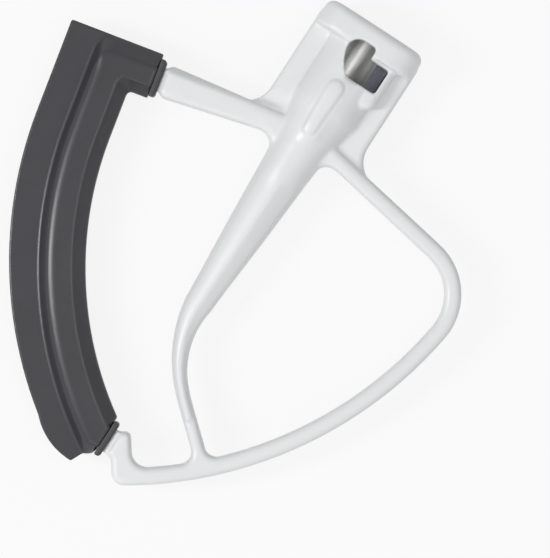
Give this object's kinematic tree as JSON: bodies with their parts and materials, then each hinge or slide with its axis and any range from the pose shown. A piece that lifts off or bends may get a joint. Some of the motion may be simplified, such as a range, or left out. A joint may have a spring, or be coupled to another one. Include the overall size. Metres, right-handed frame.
{
  "type": "flex edge beater",
  "caption": "Flat stand mixer beater: a coated cast frame with a bayonet hub, a tapering spine and a loop, and a soft wiping edge along one side.",
  "frame": {"origin": "centre of the shaft bore's mouth, on the hub's top face", "axes": "+Y up the shaft axis towards the mixer, +Z square to the beater's plane on the side of the pin window, -X towards the soft edge"},
  "size_m": [0.1558, 0.1695, 0.0248],
  "materials": {
    "coated_casting": "die-cast aluminium with a smooth pale grey nylon coating, bare in the bore",
    "edge_core": "glass-filled nylon, moulded, near black",
    "flex_edge": "dark grey thermoplastic elastomer, moulded, satin"
  },
  "bodies": {
    "root": {"beater_casting": "coated_casting", "edge_core": "edge_core", "flex_edge": "flex_edge"}
  },
  "joints": []
}
